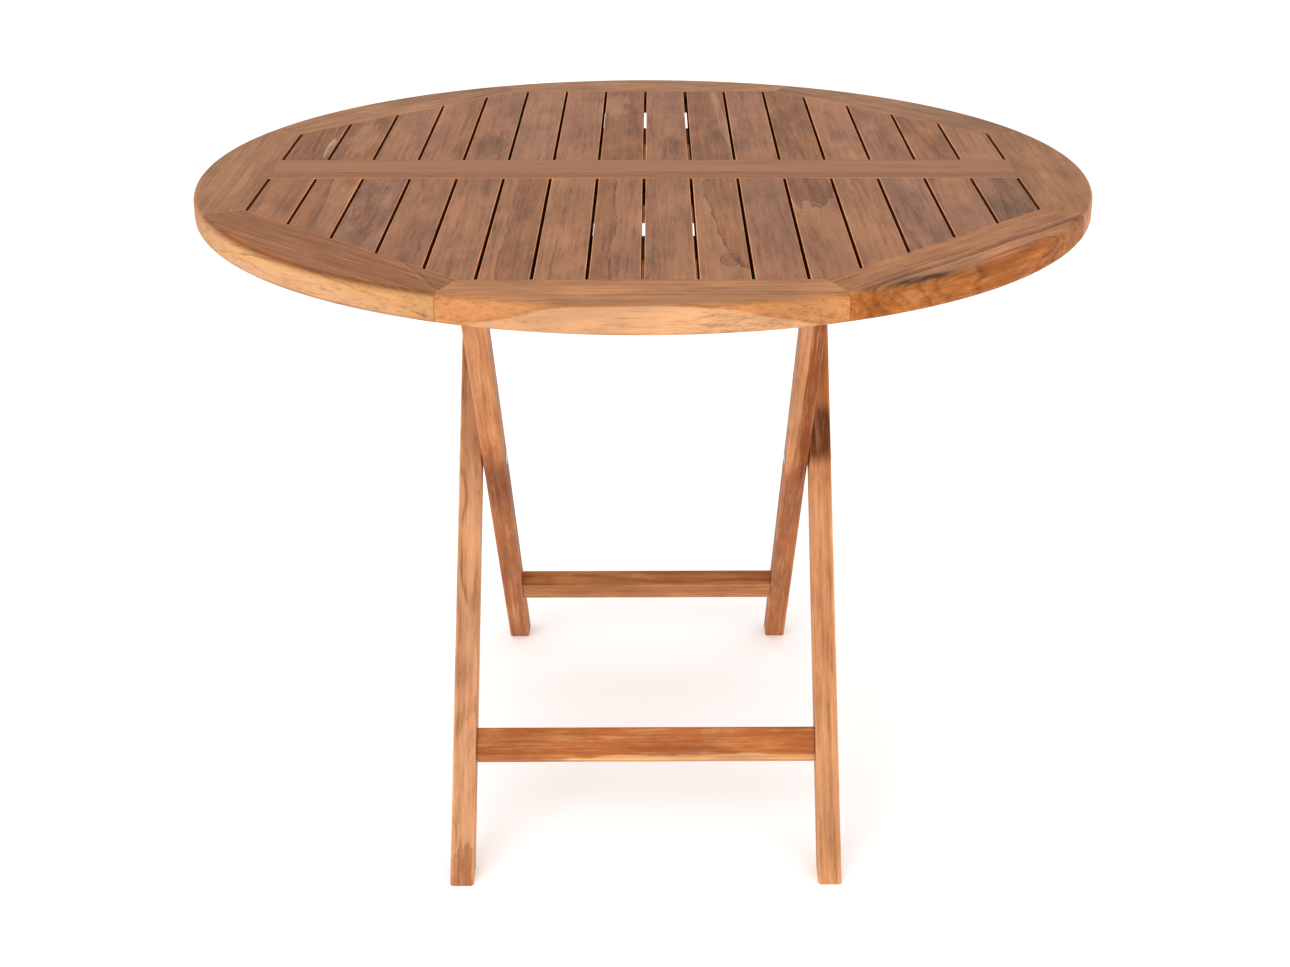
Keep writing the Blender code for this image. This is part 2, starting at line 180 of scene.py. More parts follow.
def arc(centre, radius, start, end, steps):
    """Points on an arc in a plane, angles in degrees."""
    turns = [math.radians(start + (end - start) * i / steps) for i in range(steps + 1)]
    return [(centre[0] + radius * math.cos(t), centre[1] + radius * math.sin(t)) for t in turns]


def soften(shape, width, chosen, segments=3):
    """Rounds the sharp edges for which chosen(edge) holds."""
    sharp = [e for e in shape.edges if e.is_manifold and e.calc_face_angle() > SHARP_ANGLE]
    edges = [edge for edge in sharp if chosen(edge)]
    bmesh.ops.bevel(
        shape,
        geom=edges,
        offset=width,
        offset_type="OFFSET",
        segments=segments,
        profile=0.5,
        affect="EDGES",
        clamp_overlap=True,
    )


def runs_along(direction):
    """A test for edges that are parallel to direction."""
    direction = Vector(direction).normalized()

    def test(edge):
        run = (edge.verts[1].co - edge.verts[0].co).normalized()
        return abs(run.dot(direction)) > 0.999

    return test


def any_edge(edge):
    return True


def temporary(shape):
    mesh = bpy.data.meshes.new("temporary")
    shape.to_mesh(mesh)
    shape.free()
    holder = bpy.data.objects.new("temporary", mesh)
    bpy.context.scene.collection.objects.link(holder)
    return holder


def combine(shape, tool, operation):
    """Boolean of two bmeshes, as a new bmesh. Both are used up."""
    first, second = temporary(shape), temporary(tool)
    modifier = first.modifiers.new("combine", "BOOLEAN")
    modifier.operation = operation
    modifier.solver = "EXACT"
    modifier.object = second
    graph = bpy.context.evaluated_depsgraph_get()
    mesh = bpy.data.meshes.new_from_object(first.evaluated_get(graph))
    joined = bmesh.new()
    joined.from_mesh(mesh)
    bpy.data.meshes.remove(mesh)
    for holder in (first, second):
        data = holder.data
        bpy.data.objects.remove(holder)
        bpy.data.meshes.remove(data)
    return joined


def grain_axes(centre, along, up):
    """A matrix whose X runs along the grain, whose Z is as near to up as it can be."""
    x = Vector(along).normalized()
    y = Vector(up).cross(x).normalized()
    z = x.cross(y)
    place = Matrix((x, y, z)).transposed().to_4x4()
    place.translation = Vector(centre)
    return place


def finish_piece(node, shape, place, material, sharp=35.0):
    """Turns a bmesh in world coordinates into the piece that stands for a CAD node. Edges sharper
    than sharp degrees keep flat shading on both sides."""
    shape.transform(place.inverted())
    mesh = bpy.data.meshes.new(f"{node}_finish")
    shape.to_mesh(mesh)
    shape.free()
    mesh.shade_smooth()
    mesh.set_sharp_from_angle(angle=math.radians(sharp))
    mesh.materials.append(material)
    piece = bpy.data.objects.new(f"{node}_finish", mesh)
    bpy.context.scene.collection.objects.link(piece)
    piece.matrix_world = place
    even = piece.modifiers.new("even_shading", "WEIGHTED_NORMAL")
    even.keep_sharp = True
    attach(piece, frame["nodes"][node]["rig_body"])
    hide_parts(node)


# ---------------------------------------------------------------- shaders


def srgb(red, green, blue):
    """A linear colour from 0-255 display values."""
    scaled = [value / 255 for value in (red, green, blue)]
    linear = [v / 12.92 if v <= 0.04045 else ((v + 0.055) / 1.055) ** 2.4 for v in scaled]
    return (*linear, 1.0)


class Graph:
    """Adds nodes to a tree. An input given as a socket is linked, and any other value is set."""

    def __init__(self, tree):
        self.tree = tree

    def add(self, kind, inputs=(), output=0, **settings):
        made = self.tree.nodes.new(kind)
        for key, value in settings.items():
            setattr(made, key, value)
        for key, value in dict(inputs).items():
            if isinstance(value, bpy.types.NodeSocket):
                self.tree.links.new(value, made.inputs[key])
            else:
                made.inputs[key].default_value = value
        return made.outputs[output]

    def math(self, operation, *values):
        return self.add("ShaderNodeMath", enumerate(values), operation=operation)

    def vector(self, operation, *values):
        return self.add("ShaderNodeVectorMath", enumerate(values), operation=operation)

    def length(self, vector):
        return self.add("ShaderNodeVectorMath", {0: vector}, "Value", operation="LENGTH")

    def join(self, x, y, z):
        return self.add("ShaderNodeCombineXYZ", {0: x, 1: y, 2: z})

    def split(self, vector):
        made = self.tree.nodes.new("ShaderNodeSeparateXYZ")
        self.tree.links.new(vector, made.inputs[0])
        return made.outputs

    def mix(self, factor, first, second):
        inputs = {0: factor, 6: first, 7: second}
        return self.add("ShaderNodeMix", inputs, 2, data_type="RGBA")

    def noise(self, vector, scale, detail=2.0, roughness=0.5, output=0):
        inputs = {"Vector": vector, "Scale": scale, "Detail": detail, "Roughness": roughness}
        return self.add("ShaderNodeTexNoise", inputs, output)

    def stretched(self, vector, along, across, detail, roughness=0.5, output=0):
        """Noise with so many waves per metre along X and across it."""
        scaled = self.vector("MULTIPLY", vector, (along, across, across))
        return self.noise(scaled, 1.0, detail, roughness, output)

    def step(self, value, low, high):
        """0 below low, 1 above high, and smooth between them."""
        inputs = {"Value": value, "From Min": low, "From Max": high}
        return self.add("ShaderNodeMapRange", inputs, interpolation_type="SMOOTHSTEP")

    def product(self, *values):
        result = values[0]
        for value in values[1:]:
            result = self.math("MULTIPLY", result, value)
        return result

    def centred(self, noise, amount, base=0.0, middle=0.5):
        """base plus amount times what noise is above middle."""
        return self.math("MULTIPLY_ADD", self.math("SUBTRACT", noise, middle), amount, base)

    def clamp(self, value):
        return self.math("MAXIMUM", self.math("MINIMUM", value, 1.0), 0.0)


# The teak group's inputs, and their usual values. Lengths are in metres.
TEAK_NUMBERS = {
    "Seed": 0.0,
    "Pith Across": 0.09,
    "Pith Below": 0.05,
    "Drift Across": 0.0,
    "Drift Below": 0.02,
    "Wander": 0.010,
    "Ring Width": 0.006,
    "Ring Strength": 0.40,
    "Heart Radius": 1.0,
    "Heart Edge": 0.0015,
    "Band Radius": -1.0,
    "Band Width": 0.004,
    "Band Strength": 0.0,
    "Mottle": 1.15,
    "Streaks": 1.15,
    "Side Tone And Light": 0.0,
    "Arris": 0.3,
    "Rim Arris": 0.3,
    "Shade Left": 0.0,
    "Shade Right": 0.0,
}
for patch in ("A", "B"):
    TEAK_NUMBERS.update({f"{patch} Along": 0.0, f"{patch} Across": 0.0, f"{patch} Length": 0.1})
    TEAK_NUMBERS.update({f"{patch} Width": 0.02, f"{patch} Turn": 0.0, f"{patch} Amount": 0.0})
    TEAK_NUMBERS.update({f"{patch} Soft": 0.15, f"{patch} Waves": 0.35, f"{patch} Line": 0.35})
TEAK_COLOURS = {
    "Heartwood": srgb(168, 122, 96),
    "Sapwood": srgb(196, 156, 124),
    "Dark Wood": srgb(104, 62, 42),
    "Side Colour": srgb(222, 168, 118),
    "A Colour": srgb(136, 94, 68),
    "B Colour": srgb(136, 94, 68),
}
SEED_SHIFT = 3.7  # how far apart in the noise two boards with seeds one apart are cut


def pith_distance(g, given, place, moved):
    """Distance of each point from the log's pith line, which wanders slowly along the log."""
    x, y, z = place
    bends = g.split(g.noise(g.vector("MULTIPLY", moved, (2.2, 9.0, 9.0)), 1.6, 2.5, 0.55, "Color"))

    def radial(coordinate, pith, drift, bend):
        run = g.math("SUBTRACT", coordinate, g.math("MULTIPLY_ADD", x, drift, pith))
        swing = g.product(g.math("SUBTRACT", bend, 0.5), given["Wander"])
        return g.math("ADD", run, g.product(swing, 2.0))

    across = radial(y, given["Pith Across"], given["Drift Across"], bends[0])
    height = radial(z, g.product(given["Pith Below"], -1.0), given["Drift Below"], bends[1])
    return g.length(g.join(0.0, across, height))


def growth_rings(g, given, distance, shift):
    """Growth rings of uneven width, each darkening towards its late wood. Returns the late wood
    and the rings' whole darkness."""
    uneven = g.noise(g.join(g.product(distance, 60.0), shift, 0.0), 1.0, 3.0, 0.6)
    count = g.math("DIVIDE", distance, given["Ring Width"])
    phase = g.math("FRACT", g.math("MULTIPLY_ADD", uneven, 4.0, count))
    tone = g.noise(g.join(g.product(distance, 190.0), 0.0, shift), 1.0, 2.0, 0.6)
    late = g.product(g.step(phase, 0.35, 0.86), g.step(phase, 1.0, 0.90))
    late = g.product(late, g.step(tone, 0.25, 0.75))
    return late, g.math("ADD", g.product(late, 0.6), g.product(tone, 0.8))


def log_colour(g, given, distance, fibre):
    """Heartwood inside and sapwood outside, with a soft uneven border, and one darker band.
    Returns the colour and how far a point is in the sapwood."""
    border = g.math("ADD", given["Heart Radius"], g.centred(fibre, 0.002))
    inner = g.math("SUBTRACT", border, given["Heart Edge"])
    outside = g.step(distance, inner, g.math("ADD", border, given["Heart Edge"]))
    colour = g.mix(outside, given["Heartwood"], given["Sapwood"])
    off_band = g.math("ABSOLUTE", g.math("SUBTRACT", distance, given["Band Radius"]))
    band = g.step(off_band, given["Band Width"], g.product(given["Band Width"], 0.8))
    colour = g.mix(g.product(band, given["Band Strength"]), colour, given["Dark Wood"])
    return colour, outside


def add_patch(g, given, patch, place, eddy, colour, lines):
    """An oval of another colour, with a wavy border, a thin dark line round it and a paler line
    outside that. Returns the new colour, and lines with this patch's lines added."""
    x, y, _ = place
    run = g.math("SUBTRACT", x, given[f"{patch} Along"])
    rise = g.math("SUBTRACT", y, given[f"{patch} Across"])
    rise = g.math("SUBTRACT", rise, g.product(run, given[f"{patch} Turn"]))
    run = g.math("DIVIDE", run, given[f"{patch} Length"])
    rise = g.math("DIVIDE", rise, given[f"{patch} Width"])
    sway = g.product(g.math("SUBTRACT", eddy, 0.5), given[f"{patch} Waves"])
    away = g.math("ADD", g.length(g.join(run, rise, 0.0)), g.product(sway, 4.0))
    soft, amount = given[f"{patch} Soft"], given[f"{patch} Amount"]
    inside = g.step(away, g.math("ADD", 1.0, soft), g.math("SUBTRACT", 1.0, soft))
    colour = g.mix(g.product(inside, amount), colour, given[f"{patch} Colour"])
    strength = g.product(given[f"{patch} Line"], amount)
    off_line = g.math("ABSOLUTE", g.math("SUBTRACT", away, 1.0))
    lines = g.math("MULTIPLY_ADD", g.step(off_line, 0.08, 0.0), strength, lines)
    halo = g.product(g.step(away, 1.02, 1.10), g.step(away, 1.30, 1.12), strength)
    return colour, g.math("MULTIPLY_ADD", halo, -0.3, lines)


def edge_light(g, given, facing, outward, shade):
    """Brightness of end grain, which is darker, and of the arrises, which get a painted highlight
    with some pale raised grain. Rim Arris is for the arrises that face outward on a ring segment."""
    end_grain = g.math("MULTIPLY_ADD", g.step(facing[0], 0.80, 0.97), -0.28, 1.0)
    widest = g.math("MAXIMUM", facing[0], g.math("MAXIMUM", facing[1], facing[2]))
    more = g.math("SUBTRACT", given["Arris"], given["Rim Arris"])
    arris = g.math("ADD", g.product(g.step(outward[1], -0.3, -0.1), more), given["Rim Arris"])
    arris_highlight_and_pale_grain = g.product(g.step(widest, 0.99, 0.90), arris)
    return g.product(shade, end_grain, g.math("ADD", 1.0, arris_highlight_and_pale_grain))


def build_teak_group():
    """Teak in board axes, X along the grain. The board is a piece of a log: the growth rings are
    shells around a pith line, whose place and drift are inputs, so each face shows its own cut."""
    group = bpy.data.node_groups.new("teak", "ShaderNodeTree")
    make_socket = group.interface.new_socket
    for name, value in TEAK_NUMBERS.items():
        made = make_socket(name, in_out="INPUT", socket_type="NodeSocketFloat")
        made.default_value = value
    for name, value in TEAK_COLOURS.items():
        made = make_socket(name, in_out="INPUT", socket_type="NodeSocketColor")
        made.default_value = value
    make_socket("Colour", in_out="OUTPUT", socket_type="NodeSocketColor")
    make_socket("Roughness", in_out="OUTPUT", socket_type="NodeSocketFloat")
    make_socket("Height", in_out="OUTPUT", socket_type="NodeSocketFloat")
    g = Graph(group)
    given = group.nodes.new("NodeGroupInput").outputs
    position = g.add("ShaderNodeTexCoord", output="Object")
    shift = g.product(given["Seed"], SEED_SHIFT)
    moved = g.vector("ADD", position, g.join(shift, shift, shift))
    place = g.split(position)
    distance = pith_distance(g, given, place, moved)
    late, rings = growth_rings(g, given, distance, shift)

    # Fibres from coarse to fine, pores, and clouds of colour.
    fibre = g.stretched(moved, 5.0, 210.0, 4.0, 0.62)
    grain = g.stretched(moved, 22.0, 480.0, 3.0, 0.7)
    hair = g.stretched(moved, 26.0, 1300.0, 2.0, 0.6)
    pores = g.step(g.stretched(moved, 90.0, 1500.0, 1.0), 0.60, 0.72)
    cloud = g.stretched(moved, 7.0, 26.0, 3.0, 0.6)
    blotch = g.stretched(moved, 14.0, 42.0, 4.0, 0.65)
    eddies = g.split(g.stretched(moved, 10.0, 32.0, 3.0, 0.6, "Color"))

    colour, outside = log_colour(g, given, distance, fibre)
    lines = 0.0
    for patch, eddy in zip("AB", eddies):
        colour, lines = add_patch(g, given, patch, place, eddy, colour, lines)
    outward = g.split(g.add("ShaderNodeTexCoord", output="Normal"))
    facing = [g.math("ABSOLUTE", part) for part in outward]
    # Partly painted light: faces that do not face up, such as a ring segment's rim, take a side
    # colour that is both the rim's own more golden tone and the stronger front light falling on it.
    side_colour = g.mix(g.product(outside, 0.85), given["Side Colour"], given["Sapwood"])
    side = g.product(g.step(facing[2], 0.88, 0.40), given["Side Tone And Light"])
    colour = g.mix(side, colour, side_colour)

    # How dark the grain makes each point, where less than nothing is paler.
    dark = g.product(g.math("SUBTRACT", rings, 0.45), given["Ring Strength"])
    dark = g.centred(fibre, given["Streaks"], dark)
    dark = g.centred(hair, g.product(given["Streaks"], 0.5), dark)
    dark = g.centred(grain, given["Streaks"], dark)
    dark = g.centred(blotch, g.product(given["Mottle"], 1.2), dark)
    dark = g.math("MULTIPLY_ADD", pores, 0.10, g.math("ADD", dark, lines))
    colour = g.mix(g.clamp(dark), colour, given["Dark Wood"])
    pale = g.product(g.clamp(g.product(dark, -1.0)), 0.8)
    colour = g.mix(pale, colour, given["Sapwood"])

    left = g.product(g.step(outward[1], 0.90, 0.99), given["Shade Left"])
    right = g.product(g.step(outward[1], -0.90, -0.99), given["Shade Right"])
    colour = g.mix(g.math("ADD", left, right), colour, given["Dark Wood"])
    shade = g.centred(cloud, given["Mottle"], 1.0)
    bright = edge_light(g, given, facing, outward, shade)
    colour = g.add("ShaderNodeVectorMath", {0: colour, "Scale": bright}, operation="SCALE")

    rough = g.math("MULTIPLY_ADD", fibre, 0.16, 0.46)
    rough = g.math("MULTIPLY_ADD", pores, 0.12, rough)
    relief = g.math("MULTIPLY_ADD", late, -0.30, g.product(fibre, 0.8))
    relief = g.math("MULTIPLY_ADD", hair, 0.5, relief)
    relief = g.math("MULTIPLY_ADD", pores, -0.9, relief)
    results = group.nodes.new("NodeGroupOutput").inputs
    for name, value in (("Colour", colour), ("Roughness", rough), ("Height", relief)):
        group.links.new(value, results[name])
    return group


def teak(name, **look):
    """One board's own teak. look holds any of the teak group's inputs, with _ for a space."""
    material = bpy.data.materials.new(f"teak_{name}")
    material.use_nodes = True
    g = Graph(material.node_tree)
    shader = material.node_tree.nodes["Principled BSDF"]
    inputs = {key.replace("_", " ").title(): value for key, value in look.items()}
    wood = g.add("ShaderNodeGroup", node_tree=TEAK).node
    for key, value in inputs.items():
        wood.inputs[key].default_value = value
    bump_inputs = {"Strength": 0.35, "Distance": 0.00025, "Height": wood.outputs["Height"]}
    bump = g.add("ShaderNodeBump", bump_inputs)
    g.tree.links.new(wood.outputs["Colour"], shader.inputs["Base Color"])
    g.tree.links.new(wood.outputs["Roughness"], shader.inputs["Roughness"])
    g.tree.links.new(bump, shader.inputs["Normal"])
    shader.inputs["Specular IOR Level"].default_value = 0.12
    return material


def steel(name, along):
    """Brushed stainless steel, with fine turning marks around the X axis."""
    material = bpy.data.materials.new(name)
    material.use_nodes = True
    g = Graph(material.node_tree)
    shader = material.node_tree.nodes["Principled BSDF"]
    place = g.add("ShaderNodeTexCoord", output="Object")
    marks = g.noise(g.vector("MULTIPLY", place, along), 1.0, 3.0, 0.6)
    smudge = g.noise(place, 300.0, 3.0, 0.6)
    tint = g.mix(smudge, srgb(196, 194, 190), srgb(160, 157, 152))
    shader.inputs["Metallic"].default_value = 1.0
    g.tree.links.new(tint, shader.inputs["Base Color"])
    g.tree.links.new(g.math("MULTIPLY_ADD", marks, 0.25, 0.22), shader.inputs["Roughness"])
    bump = g.add("ShaderNodeBump", {"Strength": 0.2, "Distance": 0.0001, "Height": marks})
    g.tree.links.new(bump, shader.inputs["Normal"])
    return material


# ---------------------------------------------------------------- table top


def ring_profile():
    """A ring segment's section: (kind, out, z), with kind "straight" measured from the opening's
    flat side and kind "round" measured from the centre. Runs round the section once."""
    groove_low = MIDDLE_Z - TONGUE_THICKNESS / 2 - GAP
    groove_high = MIDDLE_Z + TONGUE_THICKNESS / 2 + GAP
    depth = TONGUE_LENGTH + GAP
    r = END_EDGE_ROUND
    inner = [("straight", out, z) for out, z in arc((r, TOP_Z - r), r, 90, 180, 3)]
    inner += [("straight", 0.0, groove_high), ("straight", depth, groove_high)]
    inner += [("straight", depth, groove_low), ("straight", 0.0, groove_low)]
    inner += [("straight", out, z) for out, z in arc((r, UNDER_Z + r), r, 180, 270, 3)]
    low_centre = (RIM_RADIUS - RIM_BOTTOM_ROUND, UNDER_Z + RIM_BOTTOM_ROUND)
    high_centre = (RIM_RADIUS - RIM_TOP_ROUND, TOP_Z - RIM_TOP_ROUND)
    outer = [("round", out, z) for out, z in arc(low_centre, RIM_BOTTOM_ROUND, -90, 0, 6)]
    outer += [("round", out, z) for out, z in arc(high_centre, RIM_TOP_ROUND, 0, 90, 10)]
    return inner + outer


def ring_segment(turn):
    """Sweeps the section between two mitres, then turns the segment to its place on the ring."""
    shape = bmesh.new()
    sections = []
    profile = ring_profile()
    for step in range(RIM_STEPS + 1):
        share = 2 * step / RIM_STEPS - 1
        section = []
        for kind, out, z in profile:
            if kind == "straight":
                x = APOTHEM + out
                y = share * (x * math.tan(HALF_ANGLE) - GAP / 2 / math.cos(HALF_ANGLE))
            else:
                swing = share * (HALF_ANGLE - math.asin(GAP / 2 / out))
                x, y = out * math.cos(swing), out * math.sin(swing)
            section.append(shape.verts.new((x, y, z)))
        sections.append(section)
    for near, far in zip(sections, sections[1:]):
        for index in range(len(profile)):
            following = (index + 1) % len(profile)
            shape.faces.new((near[index], near[following], far[following], far[index]))
    caps = [shape.faces.new(sections[0]), shape.faces.new(sections[-1])]
    bmesh.ops.recalc_face_normals(shape, faces=shape.faces)
    rims = {edge for cap in caps for edge in cap.edges}
    soften(shape, CORNER_ROUND, rims.__contains__, 2)
    shape.transform(Matrix.Rotation(turn, 4, "Z"))
    return shape


def make_ring():
    for index, name in enumerate(RING_NAMES):
        turn = 2 * HALF_ANGLE * index
        out = Vector((math.cos(turn), math.sin(turn), 0.0))
        middle = out * (APOTHEM + RIM_RADIUS) / 2 + Vector((0.0, 0.0, MIDDLE_Z))
        along = Vector((-out.y, out.x, 0.0))
        place = grain_axes(middle, along, (0.0, 0.0, 1.0))
        material = teak(f"ring_{name}", **RING_LOOKS[name])
        finish_piece(f"ring_{name}", ring_segment(turn), place, material, 25.0)


def tongue_block(low_x, high_x, low_y, high_y):
    half = TONGUE_THICKNESS / 2
    return block((low_x, low_y, MIDDLE_Z - half), (high_x, high_y, MIDDLE_Z + half))


def make_rail():
    half_length = APOTHEM - GAP
    shape = block((-half_length, -RAIL_HALF, UNDER_Z), (half_length, RAIL_HALF, TOP_Z))
    soften(shape, SLAT_EDGE_ROUND * 0.7, runs_along((1, 0, 0)))
    soften(shape, END_EDGE_ROUND, runs_along((0, 1, 0)))
    reach = half_length + GAP + TONGUE_LENGTH
    shape = combine(shape, tongue_block(-reach, reach, -RAIL_HALF, RAIL_HALF), "UNION")
    half = TONGUE_THICKNESS / 2 + GAP
    depth = TONGUE_LENGTH + GAP
    for side in (-1, 1):
        low_y, high_y = sorted((side * (RAIL_HALF - depth), side * (RAIL_HALF + depth)))
        low = (-RIM_RADIUS, low_y, MIDDLE_Z - half)
        groove = block(low, (RIM_RADIUS, high_y, MIDDLE_Z + half))
        shape = combine(shape, groove, "DIFFERENCE")
    place = grain_axes((0.0, 0.0, MIDDLE_Z), (1, 0, 0), (0, 0, 1))
    finish_piece("centre_rail", shape, place, teak("centre_rail", **RAIL_LOOK))


def slat_outline(low_x, high_x, side, inner, apothem):
    """A slat from above: its inner end is at y = inner and its outer end follows the octagon."""
    corner = apothem * math.tan(HALF_ANGLE)
    reach = apothem * math.sqrt(2)
    stops = [low_x, *[x for x in (-corner, corner) if low_x < x < high_x], high_x]
    outer = [(x, side * min(apothem, reach - abs(x))) for x in stops]
    return [(high_x, side * inner), (low_x, side * inner), *outer]


def is_level(edge):
    return abs(edge.verts[0].co.z - edge.verts[1].co.z) < GAP


def make_slats():
    for side, half in ((-1, "front"), (1, "back")):
        for number in range(1, SLATS_PER_SIDE + 1):
            node = f"slat_{half}_{number:02d}"
            low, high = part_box(node)
            body = slat_outline(low.x, high.x, side, RAIL_HALF + GAP, APOTHEM - GAP)
            thickness = (0.0, 0.0, TOP_Z - UNDER_Z)
            shape = prism([(x, y, UNDER_Z) for x, y in body], thickness)
            soften(shape, SLAT_EDGE_ROUND, runs_along((0, 1, 0)))
            soften(shape, END_EDGE_ROUND, is_level, 2)
            inner = RAIL_HALF - TONGUE_LENGTH
            tongue = slat_outline(low.x, high.x, side, inner, APOTHEM + TONGUE_LENGTH)
            low_z = MIDDLE_Z - TONGUE_THICKNESS / 2
            push = (0.0, 0.0, TONGUE_THICKNESS)
            shape = combine(shape, prism([(x, y, low_z) for x, y in tongue], push), "UNION")
            middle = ((low.x + high.x) / 2, (low.y + high.y) / 2, MIDDLE_Z)
            place = grain_axes(middle, (0, 1, 0), (0, 0, 1))
            material = teak(node, **slat_look(half, number))
            finish_piece(node, shape, place, material)


# ---------------------------------------------------------------- underframe


def make_battens():
    for name in ("front", "centre", "back"):
        node = f"batten_{name}"
        low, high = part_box(node)
        shape = block(low, high)
        soften(shape, SLAT_EDGE_ROUND * 1.5, any_edge)
        place = grain_axes((low + high) / 2, (1, 0, 0), (0, 0, 1))
        finish_piece(node, shape, place, teak(node, **under_look(node)))


def bearer_outline(half_length, top):
    """A bearer from its side: full depth along the middle, and tapered up at both ends."""
    low = top - BEARER_DEPTH + GAP
    nose_z = top - BEARER_NOSE_DEPTH + GAP
    nose = half_length - BEARER_NOSE_LENGTH
    lower = [(-half_length, nose_z), (-nose, low), (nose, low), (half_length, nose_z)]
    return [(-half_length, top), *lower, (half_length, top)]


def is_on_side(edge):
    return abs(edge.verts[0].co.x - edge.verts[1].co.x) < GAP


def make_bearers():
    for name in ("left", "right"):
        node = f"bearer_{name}"
        low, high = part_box(node)
        outline = bearer_outline(high.y, high.z)
        width = high.x - low.x
        shape = prism([(low.x, y, z) for y, z in outline], (width, 0.0, 0.0))
        shape = combine(shape, cylinder(low.x, high.x, EAR_RADIUS, HINGE), "UNION")
        hole = cylinder(low.x - width, high.x + width, RIVET_RADIUS + GAP, HINGE)
        bmesh.ops.dissolve_limit(shape, angle_limit=0.001, verts=shape.verts, edges=shape.edges)
        soften(shape, SLAT_EDGE_ROUND, is_on_side)
        shape = combine(shape, hole, "DIFFERENCE")
        place = grain_axes((low + high) / 2, (0, 1, 0), (0, 0, 1))
        finish_piece(node, shape, place, teak(node, **under_look(node)))


# ---------------------------------------------------------------- leg frames


def leg_axes(lean_side, x):
    """Axes of a leg, centred on the crossing: X runs up the leg and Z out of its upper face."""
    up = Vector((0.0, lean_side * math.sin(LEAN), math.cos(LEAN)))
    face = Vector((0.0, -lean_side * math.cos(LEAN), math.sin(LEAN)))
    return grain_axes((x, 0.0, CROSSING.z), up, face)


def upper_end(edge):
    return max(vert.co.x for vert in edge.verts)


def leg_shape(place, width):
    """A leg with a round head, a foot cut level with the floor, and soft edges, in world axes."""
    half = LEG_HALF_DEPTH
    slope = math.tan(LEAN)
    foot = -CROSSING.z / math.cos(LEAN)
    head = arc((UPPER_LENGTH, 0.0), half, -90, 90, 24)
    outline = [(foot + half * slope, -half), *head, (foot - half * slope, half)]
    shape = prism([(x, -width / 2, z) for x, z in outline], (0.0, width, 0.0))
    soften(shape, LEG_EDGE_ROUND, lambda edge: upper_end(edge) > 0.0, 4)
    soften(shape, FOOT_EDGE_ROUND, lambda edge: upper_end(edge) < foot + half)
    shape.transform(place)
    return shape


def make_leg_frame(kind, lean_side, head_radius):
    """Two legs and the stretcher between them. kind is outer or inner, lean_side is 1 for heads at
    the back and -1 for heads at the front, and head_radius is that of the pin in the heads."""
    low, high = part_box(f"{kind}_stretcher")
    middle = (low + high) / 2
    rung = grain_axes(middle, (1, 0, 0), leg_axes(lean_side, 0.0).col[2].xyz)
    for side, name in ((-1, "left"), (1, "right")):
        node = f"{kind}_leg_{name}"
        low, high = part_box(node)
        x = (low.x + high.x) / 2
        width = high.x - low.x
        place = leg_axes(lean_side, x)
        shape = leg_shape(place, width)
        head = place @ Vector((UPPER_LENGTH, 0.0, 0.0))
        for centre, radius in ((head, head_radius), (CROSSING, RIVET_RADIUS)):
            hole = cylinder(x - width, x + width, radius + GAP, centre)
            shape = combine(shape, hole, "DIFFERENCE")
        reach = TENON_LENGTH + GAP
        face = -side * width / 2
        start, y, z = face - reach + x, TENON_WIDTH / 2 + GAP, TENON_THICKNESS / 2 + GAP
        mortise = block((start, -y, -z), (start + 2 * reach, y, z))
        mortise.transform(rung)
        shape = combine(shape, mortise, "DIFFERENCE")
        finish_piece(node, shape, place, teak(node, **LEG_LOOKS[node]))
    inner_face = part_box(f"{kind}_leg_right")[0].x - GAP
    half = Vector((inner_face, STRETCHER_WIDTH / 2, STRETCHER_THICKNESS / 2))
    shape = block(-half, half)
    soften(shape, STRETCHER_EDGE_ROUND, runs_along((1, 0, 0)), 4)
    soften(shape, END_EDGE_ROUND, any_edge, 2)
    tenon = Vector((inner_face + GAP + TENON_LENGTH, TENON_WIDTH / 2, TENON_THICKNESS / 2))
    shape = combine(shape, block(-tenon, tenon), "UNION")
    shape.transform(rung)
    node = f"{kind}_stretcher"
    finish_piece(node, shape, rung, teak(node, **LEG_LOOKS[node]))


def make_lock_bar():
    """A round bar with thinner ends, which pass through the inner legs and under the bearers."""
    low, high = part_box("lock_bar")
    radius = (high.z - low.z) / 2
    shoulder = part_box("inner_leg_right")[0].x - GAP
    thin, end, edge = LOCK_BAR_END_RADIUS, high.x, LOCK_BAR_EDGE_ROUND
    right = arc((shoulder - edge, radius - edge), edge, 90, 0, 4)
    right += [(shoulder, thin)]
    right += arc((end - edge, thin - edge), edge, 90, 0, 4)
    right += [(end, 0.0)]
    profile = [(-x, r) for x, r in reversed(right)] + right
    place = grain_axes((low + high) / 2, (1, 0, 0), (0, 0, 1))
    shape = lathe(profile, place.translation)
    finish_piece("lock_bar", shape, place, teak("lock_bar", **LEG_LOOKS["lock_bar"]))


